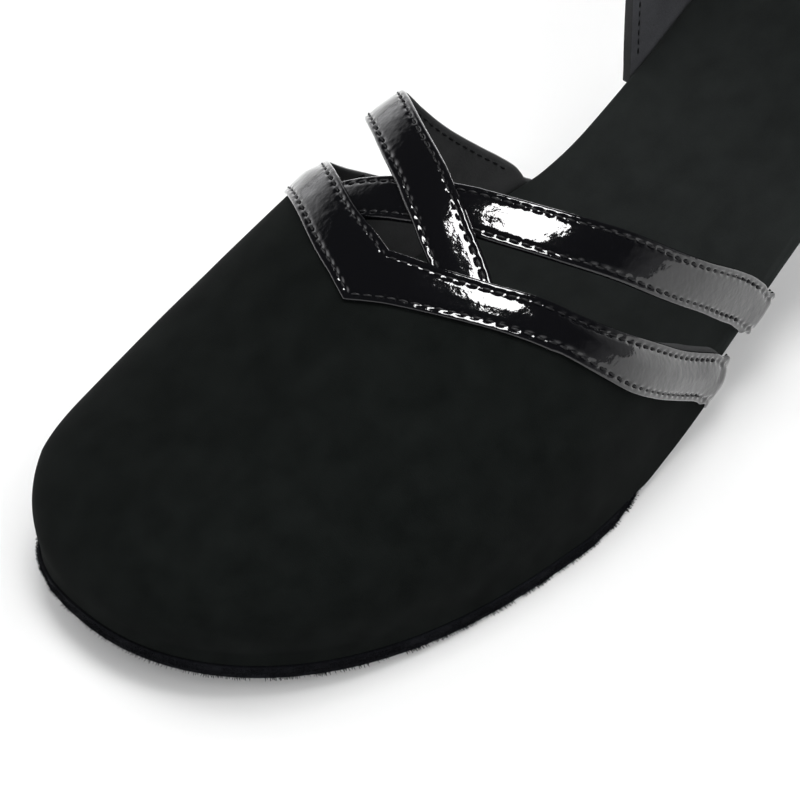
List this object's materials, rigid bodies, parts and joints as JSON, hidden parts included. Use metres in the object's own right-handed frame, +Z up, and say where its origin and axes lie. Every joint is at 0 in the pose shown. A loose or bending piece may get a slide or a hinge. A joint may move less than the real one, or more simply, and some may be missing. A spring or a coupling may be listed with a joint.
{
  "type": "ballroom dance shoe",
  "caption": "Closed-toe ballroom dance shoe for the left foot with a V throat, crossing patent straps, open waist, closed heel cup, suede sole and flared heel.",
  "frame": {"origin": "on the floor, under the middle of the outsole's flat spot at the ball of the foot", "axes": "+X towards the toe, +Y towards the outer side of the foot, +Z up"},
  "size_m": [0.2378, 0.0804, 0.1106],
  "materials": {
    "sole_suede": "rough napped suede",
    "insole_cover": "matt brushed cover",
    "nubuck": "matt nubuck",
    "patent": "high gloss patent",
    "heel_cover": "matt covered heel",
    "tip_rubber": "satin"
  },
  "bodies": {
    "root": {"outsole": "sole_suede", "insole": "insole_cover", "vamp": "nubuck", "throat_band": "patent", "cross_straps": "patent", "counter": "nubuck", "heel": "heel_cover", "heel_tip": "tip_rubber"}
  },
  "joints": []
}
